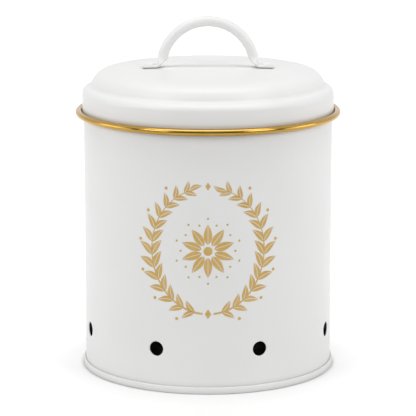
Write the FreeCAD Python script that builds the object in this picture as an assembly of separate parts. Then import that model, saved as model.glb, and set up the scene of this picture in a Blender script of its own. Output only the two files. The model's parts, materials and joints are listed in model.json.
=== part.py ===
import FreeCAD, Part
import math
import os

# A ventilated garlic keeper: a round sheet metal canister with a lift-off lid.
# Sizes are in millimetres and angles in degrees. Z points up from the face that
# the keeper stands on, the canister's axis is the Z axis, and the front faces -Y.

# Canister wall
body_radius = 60.0
body_height = 136.5
body_sheet = 0.5
mouth_curl_radius = 1.25
neck_depth = 1.2
neck_bend_radius = 4.0
neck_drop = 9.0

# Vent holes in a row round the wall, evenly spaced from the middle of the front
vent_diameter = 7.0
vent_height = 20.6
vent_spacing = 50.0
vent_seam_margin = 8.0

# Upright seam at the back of the wall: a lap inside and a fine groove outside
seam_lap_width = 6.0
seam_lap_thickness = 0.5
seam_groove_width = 0.4
seam_groove_depth = 0.2
seam_end_gap = 1.0

# Base pan, whose edge is rolled round the foot of the wall
base_sheet = 0.5
floor_height = 2.4
floor_bend_radius = 0.6
foot_height = 3.3
foot_width = 1.0
foot_rounding = 0.45
foot_clearance = 0.04

# Lid cover
lid_sheet = 0.35
skirt_clearance = 0.3
skirt_height = 9.15
corner_radius = 3.5
corner_turn = 81.0
valley_radius = 2.0
dome_lean = 20.0
dome_side = 1.0
shoulder_radius = 8.3
crown_radius = 980.0
lid_rest_gap = 0.3
flange_bend_radius = 0.3

# Gold ring, a split tube that grips the flange at the foot of the lid's skirt
rim_tube_radius = 1.65
rim_sheet = 0.35
rim_clearance = 0.1
flange_grip = 0.9
slot_clearance = 0.08

# Handle: an arch of round rod. Each leg bends outwards by leg_lean while it is flattened,
# and then bends sharply into a pad that lies on the lid
rod_diameter = 5.1
arch_radius = 22.4
handle_rise = 24.55
leg_bend_radius = 12.0
leg_lean = 34.0
foot_bend_radius = 1.6
pad_run = 3.3
pad_end = 3.5
pad_width = 8.0
pad_thickness = 1.5
pad_corner_trim = 0.4
pad_fullness = 0.95
round_fullness = 0.5523

# Rivets through the pads, and the washers under the lid
rivet_diameter = 3.0
rivet_clearance = 0.05
rivet_head_diameter = 5.6
rivet_head_height = 1.2
rivet_tail_diameter = 4.6
rivet_tail_height = 0.9
washer_diameter = 8.0
washer_thickness = 0.6
stack_gap = 0.03

# How many sections the flattening of each leg is drawn through
leg_sections = 6

# The canister's rolled mouth carries the lid where its arc meets the lid's corner
skirt_radius = body_radius + skirt_clearance + lid_sheet
curl_centre_r = body_radius - neck_depth - mouth_curl_radius
curl_centre_z = body_height - mouth_curl_radius
corner_centre_r = skirt_radius - corner_radius
seat_distance = corner_radius - lid_sheet - mouth_curl_radius
seat_rise = math.sqrt(seat_distance ** 2 - (curl_centre_r - corner_centre_r) ** 2)
corner_centre_z = curl_centre_z - seat_rise + lid_rest_gap

# The gold ring's tube lies round the foot of the skirt
rim_centre_r = skirt_radius + rim_clearance + rim_tube_radius
rim_centre_z = corner_centre_z - skirt_height

origin = FreeCAD.Vector(0, 0, 0)
upward = FreeCAD.Vector(0, 0, 1)
backward = FreeCAD.Vector(0, 1, 0)


def point(x, z):
    """A point of the upright plane that holds the axis and the handle."""
    return FreeCAD.Vector(x, 0, z)


def towards(angle):
    """A unit vector of that plane: 0 points outwards along +X, and 90 straight up."""
    return point(math.cos(math.radians(angle)), math.sin(math.radians(angle)))


def line(start, end):
    return [Part.makeLine(start, end)] if (end - start).Length > 1e-6 else []


def reached(low, low_reach, high, high_reach):
    """The point on the right that lies at the given distance from each of two centres."""
    apart = high - low
    along = (apart.Length ** 2 + low_reach ** 2 - high_reach ** 2) / (2 * apart.Length)
    aside = math.sqrt(low_reach ** 2 - along ** 2)
    way = apart * (1 / apart.Length)
    return low + way * along + point(way.z, -way.x) * aside


# Centres of the lid's bends, from the corner of the skirt up to the crown of the dome
corner = point(corner_centre_r, corner_centre_z)
valley = corner + towards(corner_turn) * (corner_radius + valley_radius)
side_foot = valley - towards(dome_lean) * valley_radius
side_top = side_foot + towards(dome_lean + 90) * dome_side
shoulder = side_top - towards(dome_lean) * shoulder_radius
crown_drop = math.sqrt((crown_radius - shoulder_radius) ** 2 - shoulder.x ** 2)
crown = point(0, shoulder.z - crown_drop)
lid_top = crown.z + crown_radius

# Centres of the handle's arch, of the bend of its right leg and of the sharp bend at the foot.
# The foot's bend sets its pad down on the crown, the leg's bend meets the arch, and the two
# bends meet where the leg leans outwards by leg_lean
arch = point(0, lid_top + handle_rise - rod_diameter / 2 - arch_radius)
foot_rise = stack_gap + pad_thickness / 2 + foot_bend_radius
leg_from_foot = towards(leg_lean) * (leg_bend_radius - foot_bend_radius)
foot_bend = reached(crown, crown_radius + foot_rise, arch - leg_from_foot, arch_radius + leg_bend_radius)
leg_bend = foot_bend + leg_from_foot

# Angle at which the rod leaves the arch for the leg's bend
arch_end = math.degrees(math.atan2(leg_bend.z - arch.z, leg_bend.x))

# The rivets stand pad_run beyond the foot's bend, and lean outwards a little with the crown
rivet_turn = math.atan2(foot_bend.x, foot_bend.z - crown.z) + math.atan2(pad_run, crown_radius + foot_rise)
lid_tilt = math.degrees(rivet_turn)
rivet_seat = crown + towards(90 - lid_tilt) * crown_radius


def sheet_side(bends, depth):
    """One side of a bent sheet, as edges that lie depth below its outer surface."""
    edges = []
    here = None
    for centre, radius, first, last in bends:
        reach = radius - depth
        start = centre + towards(first) * reach
        if here is not None:
            edges += line(here, start)
        here = start
        if first != last:
            middle = centre + towards((first + last) / 2) * reach
            here = centre + towards(last) * reach
            edges.append(Part.Arc(start, middle, here).toShape())
    return edges


def sheet_section(bends, sheet):
    """Face of a bent sheet, from bends that straight runs join.

    A bend is (centre, radius, first angle, last angle). The angles are those of the
    outer surface's normal. The radius is that surface's own, and negative where it is
    hollow. A bend of radius 0 that doesn't turn is a cut edge of the sheet.
    """
    outer = sheet_side(bends, 0)
    inner = sheet_side(bends, sheet)
    first_cap = line(outer[0].Vertexes[0].Point, inner[0].Vertexes[0].Point)
    last_cap = line(outer[-1].Vertexes[-1].Point, inner[-1].Vertexes[-1].Point)
    edges = Part.__sortEdges__(outer + inner + first_cap + last_cap)
    return Part.Face(Part.Wire(edges))


def turned(face):
    """The face, turned once round the canister's axis."""
    return face.revolve(origin, upward, 360)


def tube(inner_radius, outer_radius, bottom, top):
    outside = Part.makeCylinder(outer_radius, top - bottom, point(0, bottom))
    inside = Part.makeCylinder(inner_radius, top - bottom, point(0, bottom))
    return outside.cut(inside)


def about_axis(shape, angle):
    moved = shape.copy()
    moved.rotate(origin, upward, angle)
    return moved


def vent_angles():
    """Angles of the vents from the front's middle, in pairs that stop short of the seam."""
    half_length = math.pi * body_radius - vent_seam_margin
    pairs = int(half_length / vent_spacing + 0.5)
    step = math.degrees(vent_spacing / body_radius)
    return [side * (pair + 0.5) * step for pair in range(pairs) for side in (-1, 1)]


def make_vent_drills():
    length = 2 * (body_sheet + seam_lap_thickness)
    start = FreeCAD.Vector(0, length / 2 - body_radius, vent_height)
    drill = Part.makeCylinder(vent_diameter / 2, length, start, backward * -1)
    return [about_axis(drill, angle) for angle in vent_angles()]


def back_strip(width, inner_radius, outer_radius, bottom, top):
    """An upright strip of a tube, in the middle of the back."""
    corner = FreeCAD.Vector(-width / 2, 0, bottom)
    slab = Part.makeBox(width, outer_radius, top - bottom, corner)
    return tube(inner_radius, outer_radius, bottom, top).common(slab)


def make_seam_lap():
    inside = body_radius - body_sheet
    bottom = floor_height + base_sheet + seam_end_gap
    top = body_height - neck_drop - seam_end_gap
    return back_strip(seam_lap_width, inside - seam_lap_thickness, inside, bottom, top)


def make_seam_groove():
    bottom = foot_height + seam_end_gap
    top = body_height - neck_drop - seam_end_gap
    depth = seam_groove_depth
    return back_strip(seam_groove_width, body_radius - depth, body_radius + depth, bottom, top)


def make_body_wall():
    neck_turn = math.degrees(math.acos(1 - neck_depth / (2 * neck_bend_radius)))
    foot_edge = point(body_radius, base_sheet + foot_clearance)
    lower_bend = point(body_radius - neck_bend_radius, body_height - neck_drop)
    upper_bend = lower_bend + towards(neck_turn) * (2 * neck_bend_radius)
    bends = [
        (foot_edge, 0, 0, 0),
        (lower_bend, neck_bend_radius, 0, neck_turn),
        (upper_bend, -neck_bend_radius, neck_turn, 0),
        (point(curl_centre_r, curl_centre_z), mouth_curl_radius, 0, 270),
    ]
    wall = turned(sheet_section(bends, body_sheet))
    wall = wall.fuse(make_seam_lap())
    wall = wall.cut(make_seam_groove())
    return wall.cut(make_vent_drills())


def rounded_outside(ring_shape, radius, size):
    """The ring with its two outer edges rounded."""
    edges = [e for e in ring_shape.Edges if is_circle(e, radius)]
    return ring_shape.makeFillet(size, edges)


def is_circle(edge, radius):
    return isinstance(edge.Curve, Part.Circle) and abs(edge.Curve.Radius - radius) < 1e-6


def make_base_pan():
    """The floor, its step down inside the wall, and the edge rolled round the wall's foot."""
    step_outside = body_radius - body_sheet - foot_clearance
    step_inside = step_outside - base_sheet
    bend_centre = point(step_inside - floor_bend_radius, floor_height - floor_bend_radius)
    bends = [
        (point(step_inside, 0), 0, 180, 180),
        (bend_centre, -floor_bend_radius, 180, 270),
        (point(0, floor_height), 0, 270, 270),
    ]
    floor = turned(sheet_section(bends, base_sheet))
    edge_inside = body_radius + foot_clearance
    edge_outside = edge_inside + foot_width
    edge = tube(edge_inside, edge_outside, 0, foot_height)
    edge = rounded_outside(edge, edge_outside, foot_rounding)
    under_wall = tube(step_outside, edge_inside, 0, base_sheet)
    return floor.fuse([under_wall, edge]).removeSplitter()


def make_lid_blank():
    crown_start = math.degrees(math.atan2(crown_drop, shoulder.x))
    flange_top = rim_centre_z + lid_sheet / 2
    flange_edge = point(skirt_radius + rim_clearance + flange_grip, flange_top)
    flange_bend = point(skirt_radius + flange_bend_radius, flange_top + flange_bend_radius)
    bends = [
        (flange_edge, 0, 90, 90),
        (flange_bend, -flange_bend_radius, 90, 0),
        (corner, corner_radius, 0, corner_turn),
        (valley, -valley_radius, corner_turn, dome_lean),
        (shoulder, shoulder_radius, dome_lean, crown_start),
        (crown, crown_radius, crown_start, 90),
    ]
    return turned(sheet_section(bends, lid_sheet))


def on_lid(shape, side):
    """Sets a shape, drawn on the Z axis above z = 0, square on the lid at a rivet's place."""
    placed = shape.copy()
    placed.rotate(origin, backward, lid_tilt)
    placed.translate(rivet_seat)
    return placed if side == "right" else about_axis(placed, 180)


def make_rivet_drill():
    reach = 2 * (pad_thickness + lid_sheet)
    radius = rivet_diameter / 2 + rivet_clearance
    return Part.makeCylinder(radius, 2 * reach, point(0, -reach))


def make_lid_cover():
    drill = make_rivet_drill()
    return make_lid_blank().cut([on_lid(drill, "left"), on_lid(drill, "right")])


def make_gold_rim():
    inner_radius = rim_tube_radius - rim_sheet
    half_slot = math.degrees(math.asin((lid_sheet / 2 + slot_clearance) / inner_radius))
    centre = point(rim_centre_r, rim_centre_z)
    bends = [(centre, rim_tube_radius, half_slot - 180, 180 - half_slot)]
    return turned(sheet_section(bends, rim_sheet))


def eased(share):
    """Runs from 0 to 1, and starts and ends level."""
    return share * share * (3 - 2 * share)


def between(start, end, share):
    return start + (end - start) * eased(share)


def oblong(centre, outward, thickness, width, fullness):
    """Closed curve across the rod, in four quarters from the middle of its outer side.

    It is round where fullness is round_fullness, and squarer above that.
    """
    tips = [outward * (thickness / 2), backward * (width / 2)]
    tips += [tip * -1 for tip in tips]
    quarters = []
    for start, end in zip(tips, tips[1:] + tips[:1]):
        curve = Part.BezierCurve()
        poles = [start, start + end * fullness, end + start * fullness, end]
        curve.setPoles([centre + pole for pole in poles])
        quarters.append(curve.toShape())
    return Part.Wire(quarters)


def make_leg():
    """The right leg's outward bend, along which the round rod becomes as flat as the pad."""
    first = arch_end + 180
    last = leg_lean + 180
    wires = []
    for index in range(leg_sections):
        share = index / (leg_sections - 1)
        outward = towards(first + (last - first) * share)
        thickness = between(rod_diameter, pad_thickness, share)
        width = between(rod_diameter, pad_width, share)
        fullness = between(round_fullness, pad_fullness, share)
        wires.append(oblong(leg_bend + outward * leg_bend_radius, outward, thickness, width, fullness))
    return Part.makeLoft(wires, True, False)


def make_foot():
    """The right foot: the sharp bend and the pad, trimmed at its corners and drilled."""
    first = leg_lean + 180
    last = 270 - lid_tilt
    start = foot_bend + towards(first) * foot_bend_radius
    section = oblong(start, towards(first), pad_thickness, pad_width, pad_fullness)
    bend = Part.Face(section).revolve(foot_bend, backward * -1, last - first)
    landing = foot_bend + towards(last) * foot_bend_radius
    pad_section = oblong(landing, towards(last), pad_thickness, pad_width, pad_fullness)
    along = towards(-lid_tilt)
    strap = Part.Face(pad_section).extrude(along * pad_run)
    pad_section.translate(along * pad_run)
    tip = Part.Face(pad_section).extrude(along * pad_end).common(make_corner_trim())
    return bend.fuse([strap, tip]).cut(on_lid(make_rivet_drill(), "right"))


def make_corner_trim():
    """A disc about the right rivet that reaches almost to the corners of the pad's end."""
    reach = math.hypot(pad_end, pad_width / 2) - pad_corner_trim
    return on_lid(Part.makeCylinder(reach, 4 * pad_thickness, point(0, -pad_thickness)), "right")


def make_handle():
    rod_centre = arch + towards(arch_end) * arch_radius
    inward = towards(arch_end + 180)
    rod_section = oblong(rod_centre, inward, rod_diameter, rod_diameter, round_fullness)
    rod = Part.Face(rod_section).revolve(arch, backward * -1, 180 - 2 * arch_end)
    end = make_leg().fuse(make_foot())
    return rod.fuse([end, about_axis(end, 180)])


def button(diameter, height, base, direction):
    """A low dome on the Z axis, flat at base, whose top is height above or below it."""
    tip = base + direction * height
    sphere_radius = (diameter ** 2 / 4 + height ** 2) / (2 * height)
    lean = math.asin(diameter / 2 / sphere_radius) / 2
    shoulder_r = sphere_radius * math.sin(lean)
    shoulder_z = tip - direction * sphere_radius * (1 - math.cos(lean))
    rim = point(diameter / 2, base)
    arc = Part.Arc(rim, point(shoulder_r, shoulder_z), point(0, tip)).toShape()
    edges = [arc] + line(point(0, tip), point(0, base)) + line(point(0, base), rim)
    return turned(Part.Face(Part.Wire(edges)))


def make_rivet():
    """A rivet on the Z axis, with the lid's outer surface at z = 0."""
    head_base = pad_thickness + 2 * stack_gap
    tail_base = -lid_sheet - washer_thickness - 2 * stack_gap
    shank = Part.makeCylinder(rivet_diameter / 2, head_base - tail_base, point(0, tail_base))
    head = button(rivet_head_diameter, rivet_head_height, head_base, 1)
    tail = button(rivet_tail_diameter, rivet_tail_height, tail_base, -1)
    return shank.fuse([head, tail]).removeSplitter()


def make_washer():
    top = -lid_sheet - stack_gap
    hole_radius = rivet_diameter / 2 + rivet_clearance
    return tube(hole_radius, washer_diameter / 2, top - washer_thickness, top)


def make_parts():
    parts = {
        "body_wall": make_body_wall(),
        "base_pan": make_base_pan(),
        "lid_cover": make_lid_cover(),
        "gold_rim": make_gold_rim(),
        "handle": make_handle(),
    }
    for side in ("left", "right"):
        parts["rivet_" + side] = on_lid(make_rivet(), side)
        parts["washer_" + side] = on_lid(make_washer(), side)
    return parts


os.makedirs("parts", exist_ok=True)
for name, shape in make_parts().items():
    shape.exportStep("parts/" + name + ".step")
    box = shape.BoundBox
    print(name, "solids", len(shape.Solids), "valid", shape.isValid(), "volume", round(shape.Volume, 1),
          "z", round(box.ZMin, 2), "to", round(box.ZMax, 2), "x to", round(box.XMax, 2))
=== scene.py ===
import json
import math

import bmesh
import bpy
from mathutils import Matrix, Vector

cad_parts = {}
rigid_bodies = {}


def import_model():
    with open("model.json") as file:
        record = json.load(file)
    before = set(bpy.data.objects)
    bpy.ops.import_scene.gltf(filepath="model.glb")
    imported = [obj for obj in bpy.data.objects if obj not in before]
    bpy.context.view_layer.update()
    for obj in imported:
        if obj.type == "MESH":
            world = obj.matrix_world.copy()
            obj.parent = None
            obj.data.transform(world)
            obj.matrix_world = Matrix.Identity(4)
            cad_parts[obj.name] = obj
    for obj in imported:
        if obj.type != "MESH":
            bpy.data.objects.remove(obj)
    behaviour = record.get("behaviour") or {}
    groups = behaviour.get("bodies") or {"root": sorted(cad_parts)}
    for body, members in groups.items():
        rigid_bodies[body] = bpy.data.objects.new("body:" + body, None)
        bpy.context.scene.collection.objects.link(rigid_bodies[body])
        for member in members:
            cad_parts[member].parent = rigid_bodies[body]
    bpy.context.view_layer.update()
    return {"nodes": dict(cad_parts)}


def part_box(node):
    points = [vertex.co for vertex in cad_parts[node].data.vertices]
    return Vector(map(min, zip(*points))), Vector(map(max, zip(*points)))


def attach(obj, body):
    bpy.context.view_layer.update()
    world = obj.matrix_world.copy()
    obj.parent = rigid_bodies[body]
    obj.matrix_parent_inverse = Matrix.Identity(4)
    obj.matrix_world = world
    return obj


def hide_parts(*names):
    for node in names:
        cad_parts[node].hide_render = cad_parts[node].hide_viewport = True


for leftover in list(bpy.data.objects):
    bpy.data.objects.remove(leftover)

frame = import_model()
scene = bpy.context.scene
mm = 0.001


# Adds a node, sets its settings, and fills or links its sockets
def addNode(tree, kind, sockets=None, **settings):
    node = tree.nodes.new(kind)
    for name, value in settings.items():
        setattr(node, name, value)
    for name, value in (sockets or {}).items():
        if isinstance(value, bpy.types.NodeSocket):
            tree.links.new(value, node.inputs[name])
        else:
            node.inputs[name].default_value = value
    return node


def newMaterial(name):
    material = bpy.data.materials.new(name)
    material.use_nodes = True
    tree = material.node_tree
    return material, tree, tree.nodes["Principled BSDF"]


# Noise in millimetres: size is the distance between its bumps
def noiseOf(tree, vector, size, detail=2.0, roughness=0.5):
    sockets = {"Vector": vector, "Scale": 1 / (size * mm), "Detail": detail, "Roughness": roughness}
    return addNode(tree, "ShaderNodeTexNoise", sockets).outputs["Fac"]


def rangeOf(tree, value, low, high, start=0.0, end=1.0):
    sockets = {"Value": value, "From Min": start, "From Max": end, "To Min": low, "To Max": high}
    return addNode(tree, "ShaderNodeMapRange", sockets).outputs["Result"]


def mixColour(tree, factor, first, second, blend="MIX"):
    node = addNode(tree, "ShaderNodeMix", data_type="RGBA", blend_type=blend)
    for socket, value in zip((node.inputs[0], node.inputs[6], node.inputs[7]), (factor, first, second)):
        if isinstance(value, bpy.types.NodeSocket):
            tree.links.new(value, socket)
        else:
            socket.default_value = value
    return node.outputs[2]


def bumpOf(tree, height, depth, strength=1.0, normal=None):
    sockets = {"Height": height, "Distance": depth * mm, "Strength": strength}
    if normal is not None:
        sockets["Normal"] = normal
    return addNode(tree, "ShaderNodeBump", sockets).outputs["Normal"]


def colour(red, green, blue):
    return (red, green, blue, 1.0)


powderCoat = {
    "colour": colour(0.88, 0.88, 0.875),
    "cloud": colour(0.862, 0.862, 0.855),
    "cloudSize": 38.0,
    "peelSize": 1.15,
    "peelDepth": 0.006,
    "waveSize": 9.0,
    "waveDepth": 0.012,
    "roughness": (0.34, 0.42),
    "specular": 0.5,
    # How far the painted crease shade reaches, and the grey it darkens to
    "creaseShadeReach": 2.4,
    "creaseShadeColour": colour(0.58, 0.57, 0.56),
}


# Satin white powder coat: a fine orange peel over slow waves, a faint cloudiness, and painted shade that
# darkens it in creases, gaps and under the handle's pads
def makePowderCoat(look):
    material, tree, shader = newMaterial("whitePowderCoat")
    place = addNode(tree, "ShaderNodeTexCoord").outputs["Object"]
    cloud = noiseOf(tree, place, look["cloudSize"])
    peel = noiseOf(tree, place, look["peelSize"], 3.0, 0.45)
    wave = noiseOf(tree, place, look["waveSize"], 1.0)
    tint = mixColour(tree, rangeOf(tree, cloud, 0, 1, 0.35, 0.65), look["colour"], look["cloud"])
    # Painted shade: ambient occlusion darkens the coat towards a grey wherever other surfaces are near
    creaseShading = addNode(tree, "ShaderNodeAmbientOcclusion", {"Distance": look["creaseShadeReach"] * mm}, samples=8)
    paintedCreaseShade = mixColour(tree, creaseShading.outputs["AO"], look["creaseShadeColour"], colour(1, 1, 1))
    tree.links.new(mixColour(tree, 1.0, tint, paintedCreaseShade, "MULTIPLY"), shader.inputs["Base Color"])
    gloss = rangeOf(tree, noiseOf(tree, place, 5.0, 3.0), *look["roughness"], 0.3, 0.7)
    tree.links.new(gloss, shader.inputs["Roughness"])
    slow = bumpOf(tree, wave, look["waveDepth"])
    tree.links.new(bumpOf(tree, peel, look["peelDepth"], normal=slow), shader.inputs["Normal"])
    shader.inputs["Specular IOR Level"].default_value = look["specular"]
    return material


bareSteel = {
    "colour": colour(0.46, 0.46, 0.455),
    "spangle": colour(0.36, 0.365, 0.37),
    "spangleSize": 6.0,
    "roughness": (0.32, 0.5),
    "scratchDepth": 0.002,
}


# Bare plated sheet inside the canister: dull, with faint spangles and drawing marks along the sheet
def makeBareSteel(look):
    material, tree, shader = newMaterial("bareSteelInside")
    place = addNode(tree, "ShaderNodeTexCoord").outputs["Object"]
    cells = {"Vector": place, "Scale": 1 / (look["spangleSize"] * mm), "Randomness": 1.0}
    spangle = addNode(tree, "ShaderNodeTexVoronoi", cells).outputs["Color"]
    grey = addNode(tree, "ShaderNodeSeparateColor", {"Color": spangle}).outputs["Red"]
    tree.links.new(mixColour(tree, grey, look["colour"], look["spangle"]), shader.inputs["Base Color"])
    tree.links.new(rangeOf(tree, grey, *look["roughness"]), shader.inputs["Roughness"])
    stretch = addNode(tree, "ShaderNodeMapping", {"Vector": place, "Scale": (1.0, 1.0, 0.04)})
    scratch = noiseOf(tree, stretch.outputs["Vector"], 0.5, 4.0, 0.7)
    tree.links.new(bumpOf(tree, scratch, look["scratchDepth"]), shader.inputs["Normal"])
    shader.inputs["Metallic"].default_value = 1.0
    return material


goldFinish = {
    "colour": colour(0.46, 0.285, 0.068),
    "deep": colour(0.39, 0.225, 0.045),
    "streakLength": 14.0,
    "streakWidth": 0.45,
    "reach": 64.0,
    "roughness": (0.12, 0.19),
    "drawDepth": 0.001,
}


# Gold-plated ring: satin, with drawing marks that run round it
def makeGoldFinish(look):
    material, tree, shader = newMaterial("satinGold")
    place = addNode(tree, "ShaderNodeTexCoord").outputs["Object"]
    parts = addNode(tree, "ShaderNodeSeparateXYZ", {"Vector": place}).outputs
    turn = addNode(tree, "ShaderNodeMath", {0: parts["Y"], 1: parts["X"]}, operation="ARCTAN2").outputs[0]
    stretch = look["reach"] * mm * look["streakWidth"] / look["streakLength"]
    along = addNode(tree, "ShaderNodeMath", {0: turn, 1: stretch}, operation="MULTIPLY").outputs[0]
    flatten = {0: place, 1: (1.0, 1.0, 0.0)}
    reach = addNode(tree, "ShaderNodeVectorMath", flatten, operation="MULTIPLY").outputs[0]
    radius = addNode(tree, "ShaderNodeVectorMath", {0: reach}, operation="LENGTH").outputs["Value"]
    across = addNode(tree, "ShaderNodeCombineXYZ", {"X": along, "Y": radius, "Z": parts["Z"]}).outputs[0]
    streak = noiseOf(tree, across, look["streakWidth"], 4.0, 0.6)
    patch = noiseOf(tree, place, 11.0, 2.0)
    tint = mixColour(tree, rangeOf(tree, patch, 0, 0.6, 0.4, 0.7), look["colour"], look["deep"])
    tree.links.new(tint, shader.inputs["Base Color"])
    tree.links.new(rangeOf(tree, streak, *look["roughness"], 0.3, 0.7), shader.inputs["Roughness"])
    tree.links.new(bumpOf(tree, streak, look["drawDepth"]), shader.inputs["Normal"])
    shader.inputs["Metallic"].default_value = 1.0
    return material


goldInk = {
    "colour": colour(0.63, 0.405, 0.105),
    "thin": colour(0.70, 0.48, 0.18),
    "grain": 0.35,
    "roughness": (0.42, 0.6),
}


# Gold-ochre printing ink, a little thinner here and there
def makeGoldInk(look):
    material, tree, shader = newMaterial("goldInk")
    place = addNode(tree, "ShaderNodeTexCoord").outputs["Object"]
    grain = noiseOf(tree, place, look["grain"], 3.0, 0.6)
    broad = noiseOf(tree, place, 7.0, 2.0)
    mottle = addNode(tree, "ShaderNodeMath", {0: grain, 1: broad}, operation="MULTIPLY").outputs[0]
    tint = mixColour(tree, rangeOf(tree, mottle, 0, 1, 0.18, 0.42), look["colour"], look["thin"])
    tree.links.new(tint, shader.inputs["Base Color"])
    tree.links.new(rangeOf(tree, grain, *look["roughness"], 0.3, 0.7), shader.inputs["Roughness"])
    tree.links.new(bumpOf(tree, grain, 0.004), shader.inputs["Normal"])
    return material


coatMaterial = makePowderCoat(powderCoat)
steelMaterial = makeBareSteel(bareSteel)
goldMaterial = makeGoldFinish(goldFinish)
inkMaterial = makeGoldInk(goldInk)
print("Materials made")


# Makes an object of a bmesh, smooth except at edges sharper than the given angle
def finishMesh(name, shape, materials, sharpAngle=38.0):
    bmesh.ops.recalc_face_normals(shape, faces=shape.faces)
    for face in shape.faces:
        face.smooth = True
    for edge in shape.edges:
        edge.smooth = edge.calc_face_angle(0) < math.radians(sharpAngle)
    mesh = bpy.data.meshes.new(name)
    shape.to_mesh(mesh)
    shape.free()
    for material in materials:
        mesh.materials.append(material)
    made = bpy.data.objects.new(name, mesh)
    scene.collection.objects.link(made)
    return made


# A point round the canister's axis: turn is in radians from the front's middle, sizes in millimetres
def aroundAxis(radius, turn, height):
    return Vector((radius * math.sin(turn), -radius * math.cos(turn), height)) * mm


# Points of an arc in the profile plane, from one angle to another
def arcPoints(centre, radius, first, last, step=6.0):
    count = max(1, math.ceil(abs(last - first) / step))
    angles = [math.radians(first + (last - first) * index / count) for index in range(count + 1)]
    return [(centre[0] + radius * math.cos(angle), centre[1] + radius * math.sin(angle))
            for angle in angles]


wall = {
    "radius": 60.0,
    "sheet": 0.5,
    "foot": 0.54,
    "neckStart": 127.5,
    "height": 136.5,
    "neckBend": 4.0,
    "neckDepth": 1.2,
    "curlRadius": 1.25,
    "ventRadius": 3.5,
    "ventHeight": 20.6,
    "ventSpacing": 50.0,
    "ventPairs": 4,
    "ventLip": 0.22,
    "patchHalf": 6.0,
    "patchParts": 12,
    "grooveHalf": 0.2,
    "grooveDepth": 0.2,
    "grooveBottom": 4.4,
    "grooveTop": 126.4,
    "grooveEase": 0.2,
    "lapHalf": 3.0,
    "lapThickness": 0.5,
    "lapBottom": 3.95,
    "lapTop": 126.45,
    "lapEase": 0.15,
}


# Radii and heights of the wall's outer and inner side above the vents, where it necks in and rolls over
def neckRows(look):
    turn = math.degrees(math.acos(1 - look["neckDepth"] / (2 * look["neckBend"])))
    lower = (look["radius"] - look["neckBend"], look["neckStart"])
    reach = 2 * look["neckBend"]
    upper = (lower[0] + reach * math.cos(math.radians(turn)),
             lower[1] + reach * math.sin(math.radians(turn)))
    curl = (look["radius"] - look["neckDepth"] - look["curlRadius"], look["height"] - look["curlRadius"])
    bends = [(lower, look["neckBend"], 0, turn), (upper, -look["neckBend"], turn, 0),
             (curl, look["curlRadius"], 0, 270)]
    sides = []
    for depth in (0, look["sheet"]):
        side = []
        for centre, radius, first, last in bends:
            count = 24 if last == 270 else 8
            for index in range(count + 1):
                angle = math.radians(first + (last - first) * index / count)
                reach = radius - depth
                side.append((centre[0] + reach * math.cos(angle), centre[1] + reach * math.sin(angle)))
        sides.append(side)
    return list(zip(*sides))


def evenSteps(start, end, parts):
    return [start + (end - start) * index / parts for index in range(1, parts + 1)]


# Places of the wall's upright grid lines, as arc lengths from the front's middle
def wallColumns(look):
    half = math.pi * look["radius"]
    patch = look["patchHalf"]
    vents = [(pair + 0.5) * look["ventSpacing"] for pair in range(look["ventPairs"])]
    line = [0.0]
    for vent in vents:
        line += evenSteps(line[-1], vent - patch, 8 if vent == vents[0] else 16)
        line += evenSteps(vent - patch, vent + patch, look["patchParts"])
    lap, groove = half - look["lapHalf"], half - look["grooveHalf"]
    line += evenSteps(line[-1], lap, 2) + evenSteps(lap, groove - 0.12, 3) + [groove, groove + 0.08]
    return [-place for place in reversed(line[1:])] + line + [half]


# The wall as a closed sheet with round vents whose lips turn in a little
def makeWall(look):
    shape = bmesh.new()
    radius, sheet, patch = look["radius"], look["sheet"], look["patchHalf"]
    columns = wallColumns(look)
    vents = [side * (pair + 0.5) * look["ventSpacing"]
             for pair in range(look["ventPairs"]) for side in (-1, 1)]
    ventBottom, ventTop = look["ventHeight"] - patch, look["ventHeight"] + patch
    low, high = look["grooveBottom"], look["grooveTop"]
    heights = [look["foot"], low - look["grooveEase"], low] + evenSteps(low, ventBottom, 4)
    heights += evenSteps(ventBottom, ventTop, look["patchParts"]) + evenSteps(ventTop, high, 22)
    heights += [high + look["grooveEase"]]
    rows = [((radius, height), (radius - sheet, height)) for height in heights] + neckRows(look)
    grooveRows = [low - 1e-6 <= height <= high + 1e-6 for height in heights]
    grooveRows += [False] * (len(rows) - len(heights))
    grooveStart = math.pi * radius - look["grooveHalf"] + 0.05
    grids = []
    for layer in (0, 1):
        grid = []
        for rowIndex, row in enumerate(rows):
            line = []
            for place in columns:
                reach, height = row[layer]
                if layer == 0 and grooveRows[rowIndex] and abs(place) > grooveStart:
                    reach -= look["grooveDepth"]
                line.append(shape.verts.new(aroundAxis(reach, place / radius, height)))
            grid.append(line)
        grids.append(grid)

    def insidePatch(start, end, bottom, top):
        inRow = bottom > ventBottom - 1e-4 and top < ventTop + 1e-4
        return inRow and any(start > vent - patch - 1e-4 and end < vent + patch + 1e-4 for vent in vents)

    around = len(columns)
    for layer, grid in enumerate(grids):
        for rowIndex in range(len(rows) - 1):
            for index in range(around):
                after = (index + 1) % around
                bottom, top = rows[rowIndex][layer][1], rows[rowIndex + 1][layer][1]
                vented = after != 0 and rowIndex < len(heights) - 1
                if vented and insidePatch(columns[index], columns[after], bottom, top):
                    continue
                corners = (grid[rowIndex][index], grid[rowIndex][after],
                           grid[rowIndex + 1][after], grid[rowIndex + 1][index])
                shape.faces.new(corners).material_index = layer
    for edgeRow in (0, len(rows) - 1):
        for index in range(around):
            after = (index + 1) % around
            shape.faces.new((grids[0][edgeRow][index], grids[0][edgeRow][after],
                             grids[1][edgeRow][after], grids[1][edgeRow][index]))

    firstRow = min(range(len(heights)), key=lambda row: abs(heights[row] - ventBottom))
    parts = look["patchParts"]
    for vent in vents:
        firstColumn = min(range(around), key=lambda column: abs(columns[column] - (vent - patch)))
        addVent(shape, grids, look, vent, firstRow, firstColumn, parts)
    addLap(shape, look)
    bmesh.ops.remove_doubles(shape, verts=shape.verts, dist=1e-7)
    return finishMesh("canisterWall", shape, [coatMaterial, steelMaterial])


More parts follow.
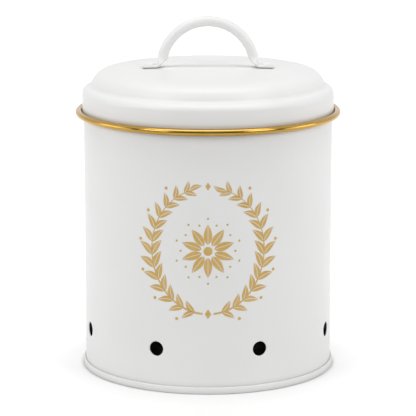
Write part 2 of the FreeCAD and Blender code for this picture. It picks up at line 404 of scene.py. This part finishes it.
# One vent: rings of faces from the square patch to the round hole, on both sides of the sheet
def addVent(shape, grids, look, vent, firstRow, firstColumn, parts):
    steps = [(0, index) for index in range(parts)] + [(index, parts) for index in range(parts)]
    steps += [(parts, parts - index) for index in range(parts)]
    steps += [(parts - index, 0) for index in range(parts)]
    radius, patch, hole, lip = look["radius"], look["patchHalf"], look["ventRadius"], look["ventLip"]
    lipRings = [(hole + lip * (1 - math.sin(math.radians(turn))), lip * (1 - math.cos(math.radians(turn))))
                for turn in (0, 22.5, 45, 67.5, 90)]
    sides = [(0, lipRings), (1, [(hole + 0.06, look["sheet"]), (hole, look["sheet"] - 0.06)])]
    ends = []
    for layer, roundRings in sides:
        square = [grids[layer][firstRow + row][firstColumn + column] for row, column in steps]
        offsets = [((column - parts / 2) * 2 * patch / parts, (row - parts / 2) * 2 * patch / parts)
                   for row, column in steps]
        depth = look["sheet"] * layer
        last = square
        firstRing = roundRings[0][0]
        rings = [(firstRing, depth, share) for share in (0.3, 0.6, 0.85)]
        rings += [(size, ringDepth, 1.0) for size, ringDepth in roundRings]
        for size, ringDepth, share in rings:
            ring = []
            for across, up in offsets:
                length = math.hypot(across, up)
                target = (across / length * size, up / length * size)
                place = (across + (target[0] - across) * share, up + (target[1] - up) * share)
                turn, height = (vent + place[0]) / radius, look["ventHeight"] + place[1]
                ring.append(shape.verts.new(aroundAxis(radius - ringDepth, turn, height)))
            bridge(shape, last, ring, layer if share < 1 else 0)
            last = ring
        ends.append(last)
    bridge(shape, ends[0], ends[1], 0)


def bridge(shape, first, second, materialIndex=0):
    for index in range(len(first)):
        after = (index + 1) % len(first)
        face = shape.faces.new((first[index], first[after], second[after], second[index]))
        face.material_index = materialIndex


# The seam's lap inside the back of the wall, a thin strip with eased edges
def addLap(shape, look):
    half, thick, ease = look["lapHalf"], look["lapThickness"], look["lapEase"]
    inner = look["radius"] - look["sheet"]
    section = [(-half, 0.0), (-half, thick - ease), (-half + ease, thick)]
    section += [(place, thick) for place in evenSteps(-half + ease, half - ease, 6)]
    section += [(half, thick - ease), (half, 0.0)]
    lines = []
    for height in (look["lapBottom"], look["lapTop"]):
        lines.append([shape.verts.new(aroundAxis(inner - depth, math.pi + place / inner, height))
                      for place, depth in section])
    bridge(shape, lines[0], lines[1], 1)
    for line in lines:
        shape.faces.new(line).material_index = 1


canisterWall = makeWall(wall)
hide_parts("body_wall")
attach(canisterWall, "canister")
print("Canister wall made:", len(canisterWall.data.polygons), "faces")


# Turns a closed outline of (radius, height, material) points once round the axis
def spinOutline(name, outline, materials, parts=288, sharpAngle=38.0):
    shape = bmesh.new()
    rings = []
    for reach, height, _ in outline:
        if reach < 1e-6:
            rings.append([shape.verts.new((0, 0, height * mm))])
        else:
            rings.append([shape.verts.new(aroundAxis(reach, 2 * math.pi * index / parts, height))
                          for index in range(parts)])
    for index, ring in enumerate(rings):
        other = rings[(index + 1) % len(rings)]
        materialIndex = outline[index][2]
        if len(ring) == 1 and len(other) == 1:
            continue
        if len(ring) > 1 and len(other) > 1:
            bridge(shape, ring, other, materialIndex)
            continue
        centre, rim = (ring[0], other) if len(ring) == 1 else (other[0], ring)
        for step in range(parts):
            shape.faces.new((centre, rim[step], rim[(step + 1) % parts])).material_index = materialIndex
    return finishMesh(name, shape, materials, sharpAngle)


base = {
    "sheet": 0.5,
    "clearance": 0.04,
    "floorHeight": 2.4,
    "floorBend": 0.6,
    "edgeHeight": 3.3,
    "edgeWidth": 1.0,
    "edgeRounding": 0.45,
    "topEdgeRounding": 0.12,
}


# The floor with its step down inside the wall, and the edge rolled round the wall's foot
def makeBase(look):
    stepOutside = wall["radius"] - wall["sheet"] - look["clearance"]
    stepInside = stepOutside - look["sheet"]
    bend = (stepInside - look["floorBend"], look["floorHeight"] - look["floorBend"])
    edgeInside = wall["radius"] + look["clearance"]
    edgeOutside = edgeInside + look["edgeWidth"]
    size, small = look["edgeRounding"], look["topEdgeRounding"]
    top = look["floorHeight"] + look["sheet"]
    inside = [(0, top), (30, top), (50, top),
              *arcPoints(bend, look["floorBend"] + look["sheet"], 90, 0, 10)]
    fold = [(stepOutside, look["sheet"]), (edgeInside, look["sheet"])]
    fold += arcPoints((edgeInside + small, look["edgeHeight"] - small), small, 180, 90, 15)
    fold += arcPoints((edgeOutside - size, look["edgeHeight"] - size), size, 90, 0, 9)
    fold += arcPoints((edgeOutside - size, size), size, 0, -90, 9)
    under = [*arcPoints((stepInside + 0.15, 0.15), 0.15, 270, 180, 15),
             *arcPoints(bend, look["floorBend"], 0, 90, 10), (50, look["floorHeight"]),
             (30, look["floorHeight"]), (0, look["floorHeight"])]
    outline = [(reach, height, 1) for reach, height in inside]
    outline += [(reach, height, 0) for reach, height in fold + under]
    return spinOutline("basePan", outline, [coatMaterial, steelMaterial])


basePan = makeBase(base)
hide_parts("base_pan")
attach(basePan, "canister")
print("Base pan made")


ring = {
    "centreRadius": 62.4,
    "tubeRadius": 1.65,
    "sheet": 0.35,
    "slotHalf": 0.255,
    "jointGap": 0.14,
    "endRounding": 0.25,
    "parts": 320,
    "sectionStep": 7.5,
}


# The split gold tube, whose two ends meet in a hairline joint at the back
def makeRing(look):
    inner = look["tubeRadius"] - look["sheet"]
    slot = math.degrees(math.asin(look["slotHalf"] / inner))
    outside = arcPoints((0, 0), look["tubeRadius"], slot - 180, 180 - slot, look["sectionStep"])
    inside = arcPoints((0, 0), inner, 180 - slot, slot - 180, look["sectionStep"])
    middle = look["tubeRadius"] - look["sheet"] / 2
    half = math.pi - look["jointGap"] / 2 / look["centreRadius"]
    ease = look["endRounding"] / look["centreRadius"]
    turns = [(half - ease * (1 - math.cos(angle)), math.sin(angle)) for angle in
             (math.radians(a) for a in (20, 45, 70))]
    places = [(-turn, full) for turn, full in turns]
    count = look["parts"]
    places += [((index / count * 2 - 1) * (half - ease), 1.0) for index in range(count + 1)]
    places += list(reversed(turns))
    bottom, top = (corner[2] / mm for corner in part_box("gold_rim"))
    centre = (bottom + top) / 2
    shape = bmesh.new()
    lines = []
    for turn, full in places:
        line = []
        for across, up in outside + inside:
            reach = math.hypot(across, up)
            eased = middle + (reach - middle) * full
            across, up = across * eased / reach, up * eased / reach
            line.append(shape.verts.new(aroundAxis(look["centreRadius"] + across, turn, centre + up)))
        lines.append(line)
    for first, second in zip(lines, lines[1:]):
        bridge(shape, first, second)
    count = len(outside)
    for line in (lines[0], lines[-1]):
        for index in range(count - 1):
            shape.faces.new((line[index], line[index + 1], line[-index - 2], line[-index - 1]))
    return finishMesh("goldRing", shape, [goldMaterial])


goldRing = makeRing(ring)
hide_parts("gold_rim")
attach(goldRing, "lid")
print("Gold ring made")


# The lid, the handle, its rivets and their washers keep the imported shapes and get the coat
for name in ("lid_cover", "handle", "rivet_left", "rivet_right", "washer_left", "washer_right"):
    node = frame["nodes"][name]
    node.data.materials.clear()
    node.data.materials.append(coatMaterial)
print("Lid, handle, rivets and washers coated")


# Flat outlines of the print are drawn in millimetres, across and up from its middle
wreath = {
    "middleHeight": 68.5,
    "halfWidth": 27.0,
    "halfHeight": 30.0,
    "bottomGap": 11.0,
    "topGap": 36.0,
    "leafPairs": 13,
    "leafLength": 8.8,
    "leafWidth": 3.3,
    "vein": 0.3,
    "stemWidth": 0.75,
    "berry": 0.75,
    "petals": 10,
    "heart": 2.1,
    "petalFoot": 3.1,
    "petalLength": 9.6,
    "petalWidth": 3.9,
    "dotReach": 15.4,
    "dot": 0.5,
    "lozenge": (1.5, 2.3),
    "thickness": 0.045,
    "slice": 1.2,
}


# A pointed leaf from its foot, in two halves with a fine vein between them
def leafHalves(foot, angle, length, width, vein, bend=0.12):
    along = (math.cos(angle), math.sin(angle))
    aside = (-along[1], along[0])
    halves = []
    for side in (1, -1):
        edge = []
        for index in range(13):
            share = index / 12
            belly = math.sin(math.pi * share ** 0.8) ** 0.9 * width / 2
            sag = bend * length * math.sin(math.pi * share)
            edge.append((share * length, side * belly + sag))
        spine = []
        for index in range(1, 12):
            share = 1 - index / 12
            belly = math.sin(math.pi * share ** 0.8) ** 0.9 * width / 2
            sag = bend * length * math.sin(math.pi * share)
            spine.append((share * length, side * min(vein / 2, belly * 0.6) + sag))
        halves.append([(foot[0] + along[0] * u + aside[0] * v, foot[1] + along[1] * u + aside[1] * v)
                       for u, v in edge + spine])
    return halves


def discOutline(centre, radius, parts=18):
    return [(centre[0] + radius * math.cos(2 * math.pi * index / parts),
             centre[1] + radius * math.sin(2 * math.pi * index / parts)) for index in range(parts)]


# A stroke along points, as wide at each as widthAt says for its share of the way
def strokeOutline(points, widthAt):
    left, right = [], []
    for index, (x, y) in enumerate(points):
        before, after = points[max(0, index - 1)], points[min(len(points) - 1, index + 1)]
        run = math.hypot(after[0] - before[0], after[1] - before[1])
        aside = (-(after[1] - before[1]) / run, (after[0] - before[0]) / run)
        half = widthAt(index / (len(points) - 1)) / 2
        left.append((x + aside[0] * half, y + aside[1] * half))
        right.append((x - aside[0] * half, y - aside[1] * half))
    return left + right[::-1]


# Two leafy stems that rise from the bottom and nearly meet at the top
def wreathStems(look):
    outlines = []
    start, end = -90 + look["bottomGap"] / 2, 90 - look["topGap"] / 2
    for side in (1, -1):
        points = []
        for index in range(41):
            angle = math.radians(start + (end - start) * index / 40)
            points.append((side * look["halfWidth"] * math.cos(angle),
                           look["halfHeight"] * math.sin(angle)))
        outlines.append(strokeOutline(points, lambda share: look["stemWidth"] * (1.15 - 0.75 * share)))
        for pair in range(look["leafPairs"]):
            share = (pair + 0.7) / (look["leafPairs"] + 0.2)
            place = share * 40
            low = min(39, int(place))
            part = place - low
            foot = tuple(points[low][k] + (points[low + 1][k] - points[low][k]) * part for k in (0, 1))
            heading = math.atan2(points[low + 1][1] - points[low][1], points[low + 1][0] - points[low][0])
            size = 1.0 - 0.35 * abs(share - 0.45) ** 1.2 / 0.5
            for lean in (-1, 1):
                angle = heading + lean * math.radians(38 if lean * side > 0 else 44)
                outlines += leafHalves(foot, angle, look["leafLength"] * size, look["leafWidth"] * size,
                                       look["vein"], bend=-0.08 * lean)
            if pair % 2 == 1:
                off = side * -(look["leafWidth"] * 1.9)
                berry = (foot[0] - math.sin(heading) * off, foot[1] + math.cos(heading) * off)
                outlines.append(discOutline(berry, look["berry"]))
        tip = points[-1]
        heading = math.atan2(points[-1][1] - points[-2][1], points[-1][0] - points[-2][0])
        outlines += leafHalves(tip, heading, look["leafLength"] * 0.7, look["leafWidth"] * 0.7,
                               look["vein"])
    return outlines


# A lozenge where the stems nearly meet at the top, and a larger one between their feet
def wreathKnots(look):
    outlines = []
    for height, size in ((look["halfHeight"] + 0.6, 0.8), (-look["halfHeight"], 1.0)):
        half, rise = look["lozenge"][0] * size, look["lozenge"][1] * size
        outlines.append([(half, height), (0, height + rise), (-half, height), (0, height - rise)])
    return outlines


# The rosette in the middle: petals round a heart, and dots round them
def wreathMiddle(look):
    outlines = [discOutline((0, 0), look["heart"], 28)]
    step = 2 * math.pi / look["petals"]
    for index in range(look["petals"]):
        angle = step * (index + 0.5)
        foot = (look["petalFoot"] * math.cos(angle), look["petalFoot"] * math.sin(angle))
        outlines += leafHalves(foot, angle, look["petalLength"], look["petalWidth"], look["vein"], bend=0)
        for turn, reach in ((angle, look["dotReach"]), (angle + step / 2, look["dotReach"] - 2.6)):
            outlines.append(discOutline((reach * math.cos(turn), reach * math.sin(turn)), look["dot"]))
    return outlines


# Closed thin pieces of ink, cut into narrow slices and bent round the wall
def makePrint(look, outlines):
    flat = bmesh.new()
    for outline in outlines:
        corners = [flat.verts.new((across, up, 0)) for across, up in outline]
        flat.faces.new(corners)
    flat.normal_update()  # the cutting into triangles goes by these
    bmesh.ops.triangulate(flat, faces=flat.faces)
    reach = look["halfWidth"] + look["leafLength"]
    for index in range(int(2 * reach / look["slice"])):
        cut = -reach + (index + 0.5) * look["slice"]
        everything = flat.verts[:] + flat.edges[:] + flat.faces[:]
        bmesh.ops.bisect_plane(flat, geom=everything, plane_co=(cut, 0, 0), plane_no=(1, 0, 0), dist=1e-5)
    bmesh.ops.recalc_face_normals(flat, faces=flat.faces)
    for face in flat.faces:
        if face.normal.z < 0:
            face.normal_flip()
    backs = bmesh.ops.extrude_face_region(flat, geom=flat.faces[:])["geom"]
    for corner in backs:
        if isinstance(corner, bmesh.types.BMVert):
            corner.co.z = -2 * look["thickness"]
    for corner in flat.verts:
        across, up, depth = corner.co
        radius = wall["radius"] + look["thickness"] + depth
        corner.co = aroundAxis(radius, across / wall["radius"], look["middleHeight"] + up)
    return finishMesh("printedWreath", flat, [inkMaterial], 60.0)


printedWreath = makePrint(wreath, wreathStems(wreath) + wreathKnots(wreath) + wreathMiddle(wreath))
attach(printedWreath, "canister")
print("Printed wreath made:", len(printedWreath.data.polygons), "faces")


studio = {
    "floorSize": 14.0,
    "floorColour": colour(0.80, 0.80, 0.80),
    # How much glow is left at the object, and where the painted shadow round it starts and ends
    "nearShare": (0.36, 0.050, 0.125),
    "frontGlow": 0.34,
    "backGlow": 0.76,
    "contactStart": 0.0609,
    "contactEnd": 0.0630,
    "glowDepth": (-0.1, 0.15),
    "shadowStretch": 1.3,
    "shadowShift": 0.015,
    "skyStrength": 0.33,
    "screenReach": 1.6,
    "screenHalf": 80,
    "screenHeight": 1.1,
    "screenParts": 24,
    "screenGlow": 0.05,
}


# True where a ray that sees the background comes from the camera, a mirror or a clear piece
def seenRay(tree):
    path = addNode(tree, "ShaderNodeLightPath").outputs
    shiny = addNode(tree, "ShaderNodeMath", {0: path["Is Glossy Ray"], 1: path["Is Transmission Ray"]},
                    operation="MAXIMUM").outputs[0]
    return addNode(tree, "ShaderNodeMath", {0: path["Is Camera Ray"], 1: shiny},
                   operation="MAXIMUM").outputs[0]


# The floor's white is faint where the object stands, so its shadow stays, and strongest behind it. The
# faint zone, narrower at the sides and shifted a little to the front, paints a soft shadow round the
# object, and the glow is cut right at its foot, which paints a dark contact line
def floorGlow(tree, place, look):
    spot = addNode(tree, "ShaderNodeVectorMath", {0: place}, operation="LENGTH").outputs["Value"]
    # Painted contact shadow: no glow up to the foot's edge, fading in over about two millimetres
    paintedContactLine = rangeOf(tree, spot, 0.0, 1.0, look["contactStart"], look["contactEnd"])
    depth = addNode(tree, "ShaderNodeSeparateXYZ", {"Vector": place}).outputs["Y"]
    white = rangeOf(tree, depth, look["frontGlow"], look["backGlow"], *look["glowDepth"])
    shift = {0: place, 1: (look["shadowStretch"], 1.0, 1.0), 2: (0.0, look["shadowShift"], 0.0)}
    moved = addNode(tree, "ShaderNodeVectorMath", shift, operation="MULTIPLY_ADD").outputs["Vector"]
    reach = addNode(tree, "ShaderNodeVectorMath", {0: moved}, operation="LENGTH").outputs["Value"]
    share, start, end = look["nearShare"]
    # Painted shadow: the glow dims towards the object over a stretched, shifted oval
    paintedShadowDip = rangeOf(tree, reach, share, 1.0, start, end)
    glow = addNode(tree, "ShaderNodeMath", {0: white, 1: paintedShadowDip}, operation="MULTIPLY").outputs[0]
    return addNode(tree, "ShaderNodeMath", {0: paintedContactLine, 1: glow}, operation="MULTIPLY").outputs[0]


def makeFloor(look):
    half = look["floorSize"] / 2
    mesh = bpy.data.meshes.new("floor")
    corners = [(-half, -half, 0), (half, -half, 0), (half, half, 0), (-half, half, 0)]
    mesh.from_pydata(corners, [], [(0, 1, 2, 3)])
    floor = bpy.data.objects.new("floor", mesh)
    scene.collection.objects.link(floor)
    material, tree, shader = newMaterial("paleFloor")
    place = addNode(tree, "ShaderNodeTexCoord").outputs["Object"]
    mottle = noiseOf(tree, place, 60.0, 3.0)
    pale = look["floorColour"]
    duller = colour(*(part * 0.985 for part in pale[:3]))
    tree.links.new(mixColour(tree, mottle, pale, duller), shader.inputs["Base Color"])
    shader.inputs["Roughness"].default_value = 0.75
    shader.inputs["Specular IOR Level"].default_value = 0.2
    shader.inputs["Emission Color"].default_value = colour(1, 1, 1)
    glow = floorGlow(tree, place, look)
    seen = addNode(tree, "ShaderNodeMath", {0: seenRay(tree), 1: glow}, operation="MULTIPLY").outputs[0]
    tree.links.new(seen, shader.inputs["Emission Strength"])
    mesh.materials.append(material)


def makeSky(look):
    world = bpy.data.worlds.new("studioWhite")
    world.use_nodes = True
    tree = world.node_tree
    strength = rangeOf(tree, seenRay(tree), look["skyStrength"], 1.0)
    background = tree.nodes["Background"]
    background.inputs["Color"].default_value = colour(1, 1, 1)
    tree.links.new(strength, background.inputs["Strength"])
    scene.world = world


# A dark curved screen round the front, which only the ring and the gloss of the coat show
def makeDarkScreen(look):
    shape = bmesh.new()
    half, reach = look["screenHalf"], look["screenReach"] / mm
    parts = look["screenParts"]
    turns = [math.radians(half * (2 * index / parts - 1)) for index in range(parts + 1)]
    low, high = ([shape.verts.new(aroundAxis(reach, turn, height)) for turn in turns]
                 for height in (0, look["screenHeight"] / mm))
    for index in range(parts):
        shape.faces.new((low[index], low[index + 1], high[index + 1], high[index]))
    material, tree, shader = newMaterial("darkScreen")
    shader.inputs["Base Color"].default_value = colour(0.02, 0.02, 0.02)
    shader.inputs["Emission Color"].default_value = colour(1, 1, 1)
    shader.inputs["Emission Strength"].default_value = look["screenGlow"]
    screen = finishMesh("darkScreen", shape, [material])
    screen.visible_camera = screen.visible_diffuse = screen.visible_shadow = False


boxAim = (0, 0, 0.08)  # all the lamps face the canister's middle


def makeSoftbox(name, place, width, height, power):
    lamp = bpy.data.lights.new(name, "AREA")
    lamp.shape = "RECTANGLE"
    lamp.size, lamp.size_y = width, height
    lamp.energy = power
    box = bpy.data.objects.new(name, lamp)
    box.location = place
    box.rotation_euler = (Vector(boxAim) - Vector(place)).to_track_quat("-Z", "Y").to_euler()
    scene.collection.objects.link(box)


softboxes = {
    "leftBox": {"place": (-1.3, -0.1, 0.28), "width": 0.8, "height": 0.6, "power": 2.4},
    "rightBox": {"place": (1.3, -0.1, 0.28), "width": 0.8, "height": 0.6, "power": 2.4},
    "leftFrontBox": {"place": (-1.0, -0.9, 0.8), "width": 0.6, "height": 0.6, "power": 4.2},
    "rightFrontBox": {"place": (1.0, -0.9, 0.8), "width": 0.6, "height": 0.6, "power": 4.2},
    "topBox": {"place": (0, -0.16, 1.28), "width": 1.4, "height": 0.5, "power": 7.0},
}

makeFloor(studio)
makeSky(studio)
makeDarkScreen(studio)
for name, box in softboxes.items():
    makeSoftbox(name, **box)
print("Studio made")

cameraSet = {
    "place": (0, -1.097, 0.305),
    "tilt": 78.235,
    "lens": 198.95,
    "sensor": 36.0,
}


def makeCamera(look):
    data = bpy.data.cameras.new("camera")
    data.lens, data.sensor_width = look["lens"], look["sensor"]
    data.clip_start, data.clip_end = 0.05, 50
    camera = bpy.data.objects.new("camera", data)
    camera.location = look["place"]
    camera.rotation_euler = (math.radians(look["tilt"]), 0, 0)
    scene.collection.objects.link(camera)
    scene.camera = camera


makeCamera(cameraSet)
scene.view_settings.view_transform = "Standard"
